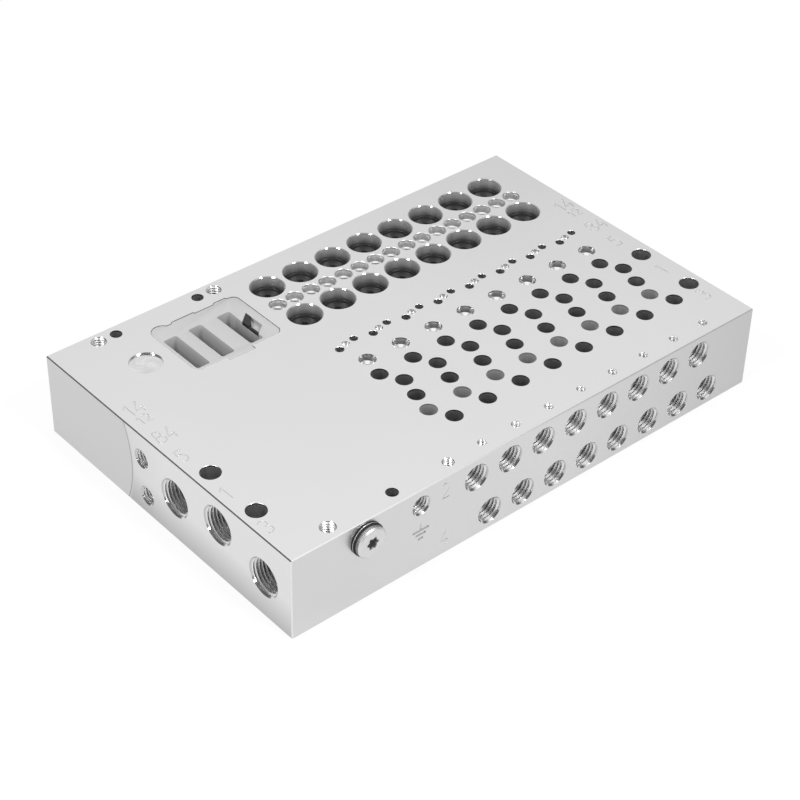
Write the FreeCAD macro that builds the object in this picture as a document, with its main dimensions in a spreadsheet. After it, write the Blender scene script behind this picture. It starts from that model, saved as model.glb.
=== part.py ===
import FreeCAD, Part
import math
import os
import Sketcher

# Valve manifold base: a flat aluminium block that carries a row of slim five-port valves.
# Millimetres. +Z is up, the front face with the outlet ports looks along -Y, and the origin is
# the centre of the bottom face. Places on the block are measured from its left and front edges
# and its bottom face, as on the machinist's drawing.

BLOCK_SIZES = {
    "block_length": 146.0,
    "block_width": 94.0,
    "block_height": 23.0,
    "edge_break": 0.25,
    "drill_point_angle": 118.0,
}

STATION_SIZES = {
    "station_count": 8,
    "station_pitch": 10.5,
    "first_station_x": 58.4,
    "valve_hole_diameter": 4.4,
    "hole_five_shift": -1.55,
    "hole_five_y": 38.2,
    "hole_four_shift": 1.55,
    "hole_four_y": 32.85,
    "hole_one_y": 26.75,
    "hole_two_shift": -1.5,
    "hole_two_y": 20.65,
    "hole_three_shift": 1.6,
    "hole_three_y": 15.2,
    "locating_hole_y": 44.5,
    "locating_hole_depth": 2.0,
    "pilot_low_hole_diameter": 2.2,
    "pilot_low_hole_shift": -2.6,
    "pilot_low_hole_y": 51.75,
    "pilot_high_hole_diameter": 2.05,
    "pilot_mid_hole_y": 52.6,
    "pilot_mid_hole_depth": 1.2,
    "pilot_high_hole_shift": 2.85,
    "pilot_high_hole_y": 53.1,
    "valve_screw_drill": 2.05,
    "valve_screw_y": 3.85,
    "valve_screw_depth": 6.0,
}

GALLERY_SIZES = {
    "gallery_diameter": 7.2,
    "gallery_five_y": 42.7,
    "gallery_five_z": 12.25,
    "gallery_one_y": 26.35,
    "gallery_one_z": 15.2,
    "gallery_three_y": 9.85,
    "gallery_three_z": 11.35,
    "end_port_drill": 8.6,
    "end_port_mouth": 10.2,
    "end_port_depth": 9.0,
    "pilot_gallery_diameter": 3.2,
    "pilot_high_gallery_y": 55.4,
    "pilot_high_gallery_z": 15.85,
    "pilot_low_gallery_y": 54.0,
    "pilot_low_gallery_z": 5.6,
    "pilot_port_drill": 4.2,
    "pilot_port_mouth": 5.2,
    "pilot_port_depth": 7.0,
}

OUTLET_SIZES = {
    "outlet_drill": 6.0,
    "outlet_mouth": 7.2,
    "outlet_depth": 6.5,
    "outlet_two_shift": -4.95,
    "outlet_two_z": 17.7,
    "outlet_four_shift": -0.2,
    "outlet_four_z": 5.3,
    "channel_two_diameter": 3.0,
    "channel_two_length": 21.2,
    "channel_two_angle": 6.7,
    "channel_four_diameter": 3.6,
    "channel_four_length": 33.5,
    "earth_drill": 4.2,
    "earth_mouth": 5.3,
    "earth_depth": 6.0,
    "earth_x": 36.8,
    "earth_z": 18.4,
}

SOCKET_SIZES = {
    "socket_diameter": 8.75,
    "socket_mouth": 9.25,
    "socket_depth": 9.0,
    "socket_back_y": 83.45,
    "socket_front_y": 68.4,
    "insert_drop": 3.0,
    "insert_clearance": 0.05,
    "insert_bore": 1.7,
    "insert_bore_depth": 4.0,
    "pip_diameter": 4.5,
    "pip_depth": 2.1,
    "pip_y": 75.8,
}

TOP_HOLE_SIZES = {
    "mount_hole_diameter": 5.0,
    "mount_hole_end": 4.45,
    "mount_hole_front_y": 17.75,
    "mount_hole_back_y": 34.4,
    "front_row_y": 3.6,
    "back_row_y": 90.7,
    "screw_four_drill": 3.3,
    "screw_four_mouth": 3.9,
    "screw_four_depth": 8.0,
    "front_screw_four_x": 13.0,
    "back_screw_four_left_x": 12.9,
    "back_screw_four_right_x": 47.2,
    "screw_three_drill": 2.5,
    "screw_three_mouth": 3.0,
    "screw_three_depth": 6.0,
    "screw_three_x": 47.7,
    "pin_hole_diameter": 3.1,
    "pin_hole_depth": 7.0,
    "front_pin_x": 31.2,
    "back_pin_left_x": 17.9,
    "back_pin_right_x": 42.2,
    "dial_recess_diameter": 8.4,
    "dial_recess_depth": 0.4,
    "dial_recess_x": 16.75,
    "dial_recess_y": 76.65,
}

FRAME_SIZES = {
    "pocket_left_x": 24.1,
    "pocket_right_x": 50.0,
    "pocket_front_y": 66.2,
    "pocket_back_y": 85.85,
    "pocket_corner": 2.0,
    "pocket_depth": 10.0,
    "front_tab_left_x": 32.9,
    "front_tab_right_x": 40.6,
    "front_tab_reach": 1.4,
    "back_tab_one_left_x": 30.9,
    "back_tab_one_right_x": 37.8,
    "back_tab_two_left_x": 43.6,
    "back_tab_two_right_x": 47.5,
    "back_tab_reach": 0.5,
    "tab_corner": 0.4,
    "corner_relief_diameter": 5.6,
    "corner_relief_x": 27.0,
    "corner_relief_y": 84.3,
    "frame_clearance": 0.1,
    "frame_drop": 0.1,
    "slot_one_x": 26.9,
    "slot_two_x": 34.25,
    "slot_three_x": 42.8,
    "slot_width": 3.8,
    "slot_front_y": 67.25,
    "slot_back_y": 81.2,
    "slot_corner": 0.6,
    "slot_depth": 7.5,
}

CLIP_SIZES = {
    "niche_right_x": 47.6,
    "niche_front_y": 71.6,
    "niche_back_y": 78.1,
    "niche_depth": 2.8,
    "tongue_foot": 1.1,
    "clip_play": 0.1,
    "clip_plate": 0.8,
    "clip_bar_height": 0.6,
    "clip_bar_width": 0.6,
}

PLUG_SIZES = {
    "plug_x": 20.9,
    "plug_z": 17.8,
    "plug_hole_drill": 6.0,
    "plug_hole_depth": 6.3,
    "plug_shank_diameter": 5.9,
    "plug_shank_length": 5.2,
    "plug_head_diameter": 8.1,
    "plug_head_height": 1.4,
    "plug_head_break": 0.45,
    "seal_diameter": 8.6,
    "seal_bore": 6.2,
    "seal_height": 0.9,
    "drive_core_diameter": 2.5,
    "drive_lobe_diameter": 0.9,
    "drive_lobe_reach": 1.2,
    "drive_depth": 1.6,
    "drive_lobe_count": 6,
}

SIZE_GROUPS = [
    BLOCK_SIZES,
    STATION_SIZES,
    GALLERY_SIZES,
    OUTLET_SIZES,
    SOCKET_SIZES,
    TOP_HOLE_SIZES,
    FRAME_SIZES,
    CLIP_SIZES,
    PLUG_SIZES,
]

# Heights and places that follow from the driving sizes, as expressions on the sheet.
TOP = "Sizes.block_height"
LEFT = "-Sizes.block_length / 2"
FRONT = "-Sizes.block_width / 2"
INSERT_HEIGHT = "(Sizes.socket_depth - Sizes.insert_drop)"
FRAME_TOP = "(Sizes.pocket_depth - Sizes.frame_drop)"
RIGHT_ANGLE = math.pi / 2

doc = FreeCAD.newDocument("ValveManifoldBase")


def make_sheet():
    sheet = doc.addObject("Spreadsheet::Sheet", "Sizes")
    row = 1
    for group in SIZE_GROUPS:
        for name, size in group.items():
            sheet.set("A%d" % row, name)
            sheet.set("B%d" % row, str(size))
            sheet.setAlias("B%d" % row, name)
            row += 1
    doc.recompute()


def sized(name):
    return "Sizes.%s" % name


def origin_part(body, role):
    return [part for part in body.Origin.OriginFeatures if part.Role == role][0]


def add_sketch(body, name, role, height=None):
    sketch = body.newObject("Sketcher::SketchObject", name)
    sketch.AttachmentSupport = (origin_part(body, role), [""])
    sketch.MapMode = "FlatFace"
    if height:
        sketch.setExpression(".AttachmentOffset.Base.z", height)
    return sketch


def move_sketch(sketch, across, up):
    sketch.setExpression(".AttachmentOffset.Base.x", across)
    sketch.setExpression(".AttachmentOffset.Base.y", up)


def add_size(sketch, constraint, expression):
    index = sketch.addConstraint(constraint)
    sketch.setExpression("Constraints[%d]" % index, expression)


# A circle whose centre is given as two expressions from the sketch's own origin.
def add_circle(sketch, across, up, diameter):
    circle = sketch.addGeometry(
        Part.Circle(FreeCAD.Vector(5, 5, 0), FreeCAD.Vector(0, 0, 1), 1), False)
    add_size(sketch, Sketcher.Constraint("DistanceX", -1, 1, circle, 3, 5.0), across)
    add_size(sketch, Sketcher.Constraint("DistanceY", -1, 1, circle, 3, 5.0), up)
    add_size(sketch, Sketcher.Constraint("Diameter", circle, 2.0), diameter)


# A closed outline of straight edges, each corner given as two expressions.
def add_outline(sketch, corners, guesses):
    count = len(corners)
    points = [FreeCAD.Vector(across, up, 0) for across, up in guesses]
    for i in range(count):
        sketch.addGeometry(Part.LineSegment(points[i], points[(i + 1) % count]), False)
    for i in range(count):
        sketch.addConstraint(Sketcher.Constraint("Coincident", i, 2, (i + 1) % count, 1))
    for i in range(count):
        across, up = corners[i]
        add_size(sketch, Sketcher.Constraint("DistanceX", -1, 1, i, 1, points[i].x), across)
        add_size(sketch, Sketcher.Constraint("DistanceY", -1, 1, i, 1, points[i].y), up)


# A rectangle with four round corners, given by its four sides and its corner radius.
def add_rounded_rectangle(sketch, left, front, right, back, radius):
    x_low, x_high, y_low, y_high, r = 10.0, 40.0, 10.0, 30.0, 2.0
    first = sketch.GeometryCount
    lines = [
        ((x_low + r, y_low), (x_high - r, y_low)),
        ((x_high, y_low + r), (x_high, y_high - r)),
        ((x_high - r, y_high), (x_low + r, y_high)),
        ((x_low, y_high - r), (x_low, y_low + r)),
    ]
    centres = [
        (x_high - r, y_low + r),
        (x_high - r, y_high - r),
        (x_low + r, y_high - r),
        (x_low + r, y_low + r),
    ]
    for start, end in lines:
        sketch.addGeometry(
            Part.LineSegment(FreeCAD.Vector(*start, 0), FreeCAD.Vector(*end, 0)), False)
    for quarter, (x, y) in enumerate(centres):
        circle = Part.Circle(FreeCAD.Vector(x, y, 0), FreeCAD.Vector(0, 0, 1), r)
        start = (quarter - 1) * RIGHT_ANGLE
        sketch.addGeometry(Part.ArcOfCircle(circle, start, start + RIGHT_ANGLE), False)
    for i in range(4):
        line = first + i
        arc = first + 4 + i
        next_line = first + (i + 1) % 4
        sketch.addConstraint(Sketcher.Constraint("Tangent", line, 2, arc, 1))
        sketch.addConstraint(Sketcher.Constraint("Tangent", arc, 2, next_line, 1))
        sketch.addConstraint(Sketcher.Constraint(["Horizontal", "Vertical"][i % 2], line))
        if i:
            sketch.addConstraint(Sketcher.Constraint("Equal", first + 4, arc))
    add_size(sketch, Sketcher.Constraint("Radius", first + 4, r), radius)
    add_size(sketch, Sketcher.Constraint("DistanceY", -1, 1, first, 1, y_low), front)
    add_size(sketch, Sketcher.Constraint("DistanceX", -1, 1, first + 1, 1, x_high), right)
    add_size(sketch, Sketcher.Constraint("DistanceY", -1, 1, first + 2, 1, y_high), back)
    add_size(sketch, Sketcher.Constraint("DistanceX", -1, 1, first + 3, 1, x_low), left)


def add_body(name, x, y, z, rotation=None):
    body = doc.addObject("PartDesign::Body", name)
    body.Label = name
    if rotation:
        body.Placement = FreeCAD.Placement(FreeCAD.Vector(0, 0, 0), rotation)
    body.setExpression(".Placement.Base.x", x)
    body.setExpression(".Placement.Base.y", y)
    body.setExpression(".Placement.Base.z", z)
    return body


def add_pad(body, name, sketch, length, inward=False):
    pad = body.newObject("PartDesign::Pad", name)
    pad.Profile = sketch
    pad.Reversed = inward
    pad.setExpression("Length", length)
    doc.recompute()
    return pad


def check_cut(body, volume_before, name):
    if not body.Shape.Volume < volume_before:
        raise RuntimeError("%s cuts nothing" % name)


def add_pocket(body, name, sketch, depth):
    doc.recompute()
    volume = body.Shape.Volume
    pocket = body.newObject("PartDesign::Pocket", name)
    pocket.Profile = sketch
    pocket.setExpression("Length", depth)
    doc.recompute()
    check_cut(body, volume, name)
    return pocket


# A drilled hole at each circle of the sketch, right through where no depth is given, with a
# countersunk mouth where a mouth diameter is given. Its floor is flat unless it is pointed.
def add_hole(body, name, sketch, diameter, depth=None, mouth=None, reverse=False, pointed=False):
    doc.recompute()
    volume = body.Shape.Volume
    hole = body.newObject("PartDesign::Hole", name)
    hole.Profile = sketch
    hole.ThreadType = "None"
    hole.Reversed = reverse
    hole.setExpression("Diameter", diameter)
    if depth:
        hole.DepthType = "Dimension"
        hole.setExpression("Depth", depth)
        hole.DrillPoint = "Angled" if pointed else "Flat"
        if pointed:
            hole.setExpression("DrillPointAngle", sized("drill_point_angle"))
    else:
        hole.DepthType = "ThroughAll"
    if mouth:
        hole.HoleCutType = "Countersink"
        hole.HoleCutCustomValues = True
        hole.setExpression("HoleCutDiameter", mouth)
    doc.recompute()
    check_cut(body, volume, name)
    return hole


def repeat_along_block(body, name, features, count, pitch):
    pattern = body.newObject("PartDesign::LinearPattern", name)
    pattern.Originals = features
    pattern.Direction = (origin_part(body, "X_Axis"), [""])
    pattern.Mode = "Spacing"
    pattern.setExpression("Occurrences", count)
    pattern.setExpression("Offset", pitch)
    body.Tip = pattern
    doc.recompute()


# The slab is sawn from bar and milled all round, with a fine break on every outer edge.
def mill_slab(body):
    outline = add_sketch(body, "slab_outline", "XY_Plane")
    length = sized("block_length")
    width = sized("block_width")
    add_outline(outline,
                [("0", "0"), (length, "0"), (length, width), ("0", width)],
                [(0, 0), (90, 0), (90, 60), (0, 60)])
    slab = add_pad(body, "slab", outline, TOP)
    edges = ["Edge%d" % (i + 1) for i in range(len(slab.Shape.Edges))]
    broken = body.newObject("PartDesign::Chamfer", "edge_break")
    broken.Base = (slab, edges)
    broken.setExpression("Size", sized("edge_break"))
    doc.recompute()


# Three supply and exhaust galleries run the whole length, with a threaded port at each end.
def drill_galleries(body):
    galleries = ["five", "one", "three"]
    bore = add_sketch(body, "gallery_centres", "YZ_Plane")
    left = add_sketch(body, "left_port_centres", "YZ_Plane")
    right = add_sketch(body, "right_port_centres", "YZ_Plane", sized("block_length"))
    for name in galleries:
        across = sized("gallery_%s_y" % name)
        up = sized("gallery_%s_z" % name)
        add_circle(bore, across, up, sized("gallery_diameter"))
        add_circle(left, across, up, sized("end_port_drill"))
        add_circle(right, across, up, sized("end_port_drill"))
    add_hole(body, "galleries", bore, sized("gallery_diameter"), reverse=True)
    drill = sized("end_port_drill")
    depth = sized("end_port_depth")
    mouth = sized("end_port_mouth")
    add_hole(body, "left_ports", left, drill, depth, mouth, reverse=True)
    add_hole(body, "right_ports", right, drill, depth, mouth)


# Two thin pilot galleries lie behind them, each with a small threaded port at each end.
def drill_pilot_galleries(body):
    bore = add_sketch(body, "pilot_gallery_centres", "YZ_Plane")
    left = add_sketch(body, "left_pilot_centres", "YZ_Plane")
    right = add_sketch(body, "right_pilot_centres", "YZ_Plane", sized("block_length"))
    for name in ["high", "low"]:
        across = sized("pilot_%s_gallery_y" % name)
        up = sized("pilot_%s_gallery_z" % name)
        add_circle(bore, across, up, sized("pilot_gallery_diameter"))
        add_circle(left, across, up, sized("pilot_port_drill"))
        add_circle(right, across, up, sized("pilot_port_drill"))
    add_hole(body, "pilot_galleries", bore, sized("pilot_gallery_diameter"), reverse=True)
    drill = sized("pilot_port_drill")
    depth = sized("pilot_port_depth")
    mouth = sized("pilot_port_mouth")
    add_hole(body, "left_pilot_ports", left, drill, depth, mouth, reverse=True)
    add_hole(body, "right_pilot_ports", right, drill, depth, mouth)


def station_x(shift=None):
    return sized("first_station_x") + (" + " + sized(shift) if shift else "")


def drill_from_top(body, name, places, diameter, depth=None, mouth=None, pointed=False):
    sketch = add_sketch(body, name + "_centres", "XY_Plane", TOP)
    for across, up in places:
        add_circle(sketch, across, up, diameter)
    return add_hole(body, name, sketch, diameter, depth, mouth, pointed=pointed)


# One valve seat: five flow holes down to their galleries and outlet channels, a blind
# locating hole, three pilot holes and the valve's screw hole.
def drill_valve_seat(body):
    bore = sized("valve_hole_diameter")
    seats = [
        ("five", "hole_five_shift", "gallery_five_z"),
        ("four", "hole_four_shift", "outlet_four_z"),
        ("one", None, "gallery_one_z"),
        ("two", "hole_two_shift", "outlet_two_z"),
        ("three", "hole_three_shift", "gallery_three_z"),
    ]
    holes = []
    for name, shift, floor in seats:
        place = (station_x(shift), sized("hole_%s_y" % name))
        depth = "%s - %s" % (TOP, sized(floor))
        holes.append(drill_from_top(body, "valve_hole_" + name, [place], bore, depth))
    holes.append(drill_from_top(
        body, "locating_hole", [(station_x(), sized("locating_hole_y"))],
        bore, sized("locating_hole_depth"), pointed=True))
    holes.append(drill_from_top(
        body, "pilot_hole_low", [(station_x("pilot_low_hole_shift"), sized("pilot_low_hole_y"))],
        sized("pilot_low_hole_diameter"), "%s - %s" % (TOP, sized("pilot_low_gallery_z"))))
    holes.append(drill_from_top(
        body, "pilot_hole_high", [(station_x("pilot_high_hole_shift"), sized("pilot_high_hole_y"))],
        sized("pilot_high_hole_diameter"), "%s - %s" % (TOP, sized("pilot_high_gallery_z"))))
    holes.append(drill_from_top(
        body, "pilot_hole_mid", [(station_x(), sized("pilot_mid_hole_y"))],
        sized("pilot_high_hole_diameter"), sized("pilot_mid_hole_depth")))
    holes.append(drill_from_top(
        body, "valve_screw_hole", [(station_x(), sized("valve_screw_y"))],
        sized("valve_screw_drill"), sized("valve_screw_depth")))
    return holes


# The two outlets of a valve open on the front face. The upper one's channel leans towards the
# valve's hole two, so that it stays clear of the neighbouring valve's hole three.
def drill_outlets(body):
    holes = []
    for name in ["two", "four"]:
        x = station_x("outlet_%s_shift" % name)
        z = sized("outlet_%s_z" % name)
        channel = add_sketch(body, "channel_%s_centre" % name, "XZ_Plane")
        if name == "two":
            channel.AttachmentOffset = FreeCAD.Placement(
                FreeCAD.Vector(0, 0, 0), FreeCAD.Rotation(FreeCAD.Vector(0, 1, 0), -5.0))
            channel.setExpression(".AttachmentOffset.Rotation.Angle", sized("channel_two_angle"))
        move_sketch(channel, x, z)
        diameter = sized("channel_%s_diameter" % name)
        add_circle(channel, "0", "0", diameter)
        holes.append(add_hole(
            body, "channel_" + name, channel, diameter, sized("channel_%s_length" % name)))
        port = add_sketch(body, "outlet_%s_centre" % name, "XZ_Plane")
        add_circle(port, x, z, sized("outlet_drill"))
        holes.append(add_hole(
            body, "outlet_" + name, port, sized("outlet_drill"), sized("outlet_depth"),
            sized("outlet_mouth")))
    return holes


# Two rows of flat-bottomed sockets for the black inserts, one of each row at every valve.
def bore_sockets(body):
    places = [
        (station_x(), sized("socket_back_y")),
        (station_x(), sized("socket_front_y")),
    ]
    bore = drill_from_top(body, "sockets", places, sized("socket_diameter"),
                          sized("socket_depth"), sized("socket_mouth"))
    return [bore]


# A row of shallow drilled pips between the two rows of sockets, two for each valve.
def drill_pips(body):
    first = "%s - Sizes.station_pitch / 4" % station_x()
    pip = drill_from_top(
        body, "pip", [(first, sized("pip_y"))], sized("pip_diameter"), sized("pip_depth"),
        pointed=True)
    repeat_along_block(
        body, "pips", [pip], "2 * Sizes.station_count", "Sizes.station_pitch / 2")


# Through holes for the base's own screws, and the row of tapped and plain holes along each
# long edge of the top.
def drill_top_holes(body):
    ends = [sized("mount_hole_end"), "Sizes.block_length - Sizes.mount_hole_end"]
    rows = [sized("mount_hole_front_y"), sized("mount_hole_back_y")]
    corners = [(across, up) for across in ends for up in rows]
    drill_from_top(body, "mounting_holes", corners, sized("mount_hole_diameter"))
    front = sized("front_row_y")
    back = sized("back_row_y")
    drill_from_top(
        body, "large_screw_holes",
        [(sized("front_screw_four_x"), front),
         (sized("back_screw_four_left_x"), back),
         (sized("back_screw_four_right_x"), back)],
        sized("screw_four_drill"), sized("screw_four_depth"), sized("screw_four_mouth"))
    drill_from_top(
        body, "small_screw_hole", [(sized("screw_three_x"), front)],
        sized("screw_three_drill"), sized("screw_three_depth"), sized("screw_three_mouth"))
    drill_from_top(
        body, "pin_holes",
        [(sized("front_pin_x"), front),
         (sized("back_pin_left_x"), back),
         (sized("back_pin_right_x"), back)],
        sized("pin_hole_diameter"), sized("pin_hole_depth"))
    dial = add_sketch(body, "dial_recess_centre", "XY_Plane", TOP)
    add_circle(dial, sized("dial_recess_x"), sized("dial_recess_y"),
               sized("dial_recess_diameter"))
    add_pocket(body, "dial_recess", dial, sized("dial_recess_depth"))


# The front face also has the closing plug's hole and the tapped earthing hole.
def drill_front_holes(body):
    plug = add_sketch(body, "plug_hole_centre", "XZ_Plane")
    add_circle(plug, sized("plug_x"), sized("plug_z"), sized("plug_hole_drill"))
    add_hole(body, "plug_hole", plug, sized("plug_hole_drill"), sized("plug_hole_depth"))
    earth = add_sketch(body, "earth_hole_centre", "XZ_Plane")
    add_circle(earth, sized("earth_x"), sized("earth_z"), sized("earth_drill"))
    add_hole(body, "earth_hole", earth, sized("earth_drill"), sized("earth_depth"),
             sized("earth_mouth"))


# The outline that the slot frame and its pocket share: a rounded rectangle with a tab on the
# front side, two tabs on the back side and a round lobe at one corner. The inset is the play.
def add_frame_outlines(body, height, inset, shape):
    def side(name, sign):
        return "%s %s %s" % (sized(name), sign, inset)

    main = add_sketch(body, "frame_outline", "XY_Plane", height)
    add_rounded_rectangle(
        main, side("pocket_left_x", "+"), side("pocket_front_y", "+"),
        side("pocket_right_x", "-"), side("pocket_back_y", "-"), sized("pocket_corner"))
    shape("frame_outline_form", main)
    inner = sized("pocket_corner")
    front_tab = add_sketch(body, "front_tab_outline", "XY_Plane", height)
    add_rounded_rectangle(
        front_tab, side("front_tab_left_x", "+"),
        "Sizes.pocket_front_y - Sizes.front_tab_reach + %s" % inset,
        side("front_tab_right_x", "-"), "Sizes.pocket_front_y + %s" % inner,
        sized("tab_corner"))
    shape("front_tab_form", front_tab)
    for name in ["one", "two"]:
        tab = add_sketch(body, "back_tab_%s_outline" % name, "XY_Plane", height)
        add_rounded_rectangle(
            tab, side("back_tab_%s_left_x" % name, "+"), "Sizes.pocket_back_y - %s" % inner,
            side("back_tab_%s_right_x" % name, "-"),
            "Sizes.pocket_back_y + Sizes.back_tab_reach - %s" % inset, sized("tab_corner"))
        shape("back_tab_%s_form" % name, tab)
    lobe = add_sketch(body, "corner_lobe_outline", "XY_Plane", height)
    add_circle(lobe, sized("corner_relief_x"), sized("corner_relief_y"),
               "Sizes.corner_relief_diameter - 2 * %s" % inset)
    shape("corner_lobe_form", lobe)


def mill_frame_pocket(body):
    def cut(name, sketch):
        add_pocket(body, name, sketch, sized("pocket_depth"))

    add_frame_outlines(body, TOP, "0", cut)


def make_manifold_block():
    body = add_body("manifold_block", LEFT, FRONT, "0")
    mill_slab(body)
    mill_frame_pocket(body)
    drill_galleries(body)
    drill_pilot_galleries(body)
    repeated = drill_valve_seat(body) + drill_outlets(body) + bore_sockets(body)
    repeat_along_block(
        body, "stations", repeated, sized("station_count"), sized("station_pitch"))
    drill_pips(body)
    drill_top_holes(body)
    drill_front_holes(body)
    return body


# Grey moulded frame with three open slots. The third has a niche beside it, whose far wall is
# a slanted tongue.
def make_slot_frame():
    body = add_body("slot_frame", LEFT, FRONT, "%s - Sizes.pocket_depth" % TOP)

    def fill(name, sketch):
        add_pad(body, name, sketch, FRAME_TOP)

    add_frame_outlines(body, None, sized("frame_clearance"), fill)
    slots = add_sketch(body, "slot_outlines", "XY_Plane", FRAME_TOP)
    for name in ["one", "two", "three"]:
        middle = sized("slot_%s_x" % name)
        add_rounded_rectangle(
            slots, "%s - Sizes.slot_width / 2" % middle, sized("slot_front_y"),
            "%s + Sizes.slot_width / 2" % middle, sized("slot_back_y"), sized("slot_corner"))
    add_pocket(body, "slots", slots, sized("slot_depth"))
    niche = add_sketch(body, "niche_outline", "XY_Plane", FRAME_TOP)
    middle = sized("slot_three_x")
    right = sized("niche_right_x")
    front = sized("niche_front_y")
    back = sized("niche_back_y")
    add_outline(niche,
                [(middle, front), (right, front), (right, back), (middle, back)],
                [(40, 60), (50, 60), (50, 70), (40, 70)])
    add_pocket(body, "niche", niche, sized("niche_depth"))
    tongue = add_sketch(body, "tongue_section", "XZ_Plane",
                        "-Sizes.niche_front_y - Sizes.clip_play")
    floor = "%s - Sizes.niche_depth" % FRAME_TOP
    add_outline(tongue,
                [("Sizes.niche_right_x - Sizes.tongue_foot", floor),
                 (right, floor), (right, FRAME_TOP)],
                [(46, 6), (48, 6), (48, 9)])
    length = ("Sizes.niche_back_y - Sizes.niche_front_y - Sizes.clip_plate"
              " - 3 * Sizes.clip_play")
    add_pad(body, "tongue", tongue, length, inward=True)
    return body


# Black clip: a thin upright leg at the back of the niche, and a bar along the tongue's foot.
def make_slot_clip():
    body = add_body("slot_clip", LEFT, FRONT,
                    "%s - Sizes.frame_drop - Sizes.niche_depth" % TOP)
    near = "Sizes.niche_right_x - Sizes.tongue_foot - Sizes.clip_play - Sizes.clip_bar_width"
    far = "Sizes.niche_right_x - Sizes.clip_play"
    crest = "Sizes.niche_depth - Sizes.clip_play"
    leg = add_sketch(body, "leg_section", "XZ_Plane", "-Sizes.niche_back_y + Sizes.clip_play")
    add_outline(leg,
                [(near, "0"), (far, "0"), (far, crest),
                 ("%s - Sizes.clip_bar_width" % far, crest)],
                [(45, 0), (48, 0), (48, 3), (47, 3)])
    add_pad(body, "leg", leg, sized("clip_plate"))
    bar = add_sketch(body, "bar_section", "XZ_Plane", "-Sizes.niche_back_y + Sizes.clip_play")
    bar_far = "Sizes.niche_right_x - Sizes.tongue_foot - Sizes.clip_play"
    height = sized("clip_bar_height")
    add_outline(bar,
                [(near, "0"), (bar_far, "0"), (bar_far, height), (near, height)],
                [(45, 0), (46, 0), (46, 1), (45, 1)])
    add_pad(body, "bar", bar,
            "Sizes.niche_back_y - Sizes.niche_front_y - 2 * Sizes.clip_play")
    return body


# Black moulded insert: a round plug with a bore down its middle.
def make_socket_insert(name, row, station):
    x = "%s + %s + %d * Sizes.station_pitch" % (LEFT, sized("first_station_x"), station)
    y = "%s + %s" % (FRONT, sized("socket_%s_y" % row))
    body = add_body(name, x, y, "%s - Sizes.socket_depth" % TOP)
    outer = add_sketch(body, "plug_outline", "XY_Plane")
    add_circle(outer, "0", "0", "Sizes.socket_diameter - 2 * Sizes.insert_clearance")
    add_pad(body, "plug", outer, INSERT_HEIGHT)
    bore = add_sketch(body, "bore_outline", "XY_Plane", INSERT_HEIGHT)
    add_circle(bore, "0", "0", sized("insert_bore"))
    add_pocket(body, "bore", bore, sized("insert_bore_depth"))
    return body


OUTWARD = FreeCAD.Rotation(FreeCAD.Vector(1, 0, 0), 90)


# Turned screw plug with a low round head and a six-lobed drive.
def make_plug_screw():
    body = add_body("plug_screw", "%s + Sizes.plug_x" % LEFT,
                    "%s + Sizes.plug_shank_length" % FRONT, sized("plug_z"), OUTWARD)
    section = add_sketch(body, "turned_section", "XZ_Plane")
    shank = "Sizes.plug_shank_diameter / 2"
    head = "Sizes.plug_head_diameter / 2"
    shoulder = "Sizes.plug_shank_length + Sizes.seal_height"
    crown = "%s + Sizes.plug_head_height" % shoulder
    add_outline(section,
                [("0", "0"), (shank, "0"), (shank, shoulder), (head, shoulder),
                 (head, "%s - Sizes.plug_head_break" % crown),
                 ("%s - Sizes.plug_head_break" % head, crown), ("0", crown)],
                [(0, 0), (3, 0), (3, 6), (4, 6), (4, 7), (3.5, 7.5), (0, 7.5)])
    turned = body.newObject("PartDesign::Revolution", "turned_plug")
    turned.Profile = section
    turned.ReferenceAxis = (origin_part(body, "Z_Axis"), [""])
    turned.Angle = 360
    core = add_sketch(body, "drive_core", "XY_Plane", crown)
    add_circle(core, "0", "0", sized("drive_core_diameter"))
    add_pocket(body, "drive_socket", core, sized("drive_depth"))
    lobe = add_sketch(body, "drive_lobe", "XY_Plane", crown)
    add_circle(lobe, sized("drive_lobe_reach"), "0", sized("drive_lobe_diameter"))
    cut = add_pocket(body, "drive_lobe_cut", lobe, sized("drive_depth"))
    lobes = body.newObject("PartDesign::PolarPattern", "drive_lobes")
    lobes.Originals = [cut]
    lobes.Axis = (origin_part(body, "Z_Axis"), [""])
    lobes.Angle = 360
    lobes.setExpression("Occurrences", sized("drive_lobe_count"))
    body.Tip = lobes
    doc.recompute()
    return body


# Flat seal ring between the plug's head and the front face.
def make_plug_seal_ring():
    body = add_body("plug_seal_ring", "%s + Sizes.plug_x" % LEFT, FRONT, sized("plug_z"),
                    OUTWARD)
    ring = add_sketch(body, "ring_outline", "XY_Plane")
    add_circle(ring, "0", "0", sized("seal_diameter"))
    add_circle(ring, "0", "0", sized("seal_bore"))
    add_pad(body, "ring", ring, sized("seal_height"))
    return body


def make_all():
    parts = [
        make_manifold_block(),
        make_slot_frame(),
        make_slot_clip(),
        make_plug_screw(),
        make_plug_seal_ring(),
    ]
    for row in ["back", "front"]:
        for station in range(STATION_SIZES["station_count"]):
            name = "socket_insert_%s_%d" % (row, station + 1)
            parts.append(make_socket_insert(name, row, station))
    return parts


def check_document():
    doc.recompute()
    failed = [
        item.Label for item in doc.Objects
        if "Invalid" in item.State or "Error" in item.State
    ]
    if failed:
        raise RuntimeError("failed objects: %s" % failed)


def write_parts(parts):
    os.makedirs("parts", exist_ok=True)
    for part in parts:
        if part.Shape.isNull() or not part.Shape.isValid():
            raise RuntimeError("%s has no valid shape" % part.Label)
        part.Shape.exportStep("parts/%s.step" % part.Label)
        print(part.Label, "volume %.1f mm3" % part.Shape.Volume)


make_sheet()
pieces = make_all()
check_document()
write_parts(pieces)
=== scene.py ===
import bpy
import math
from mathutils import Matrix, Quaternion, Vector


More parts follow.
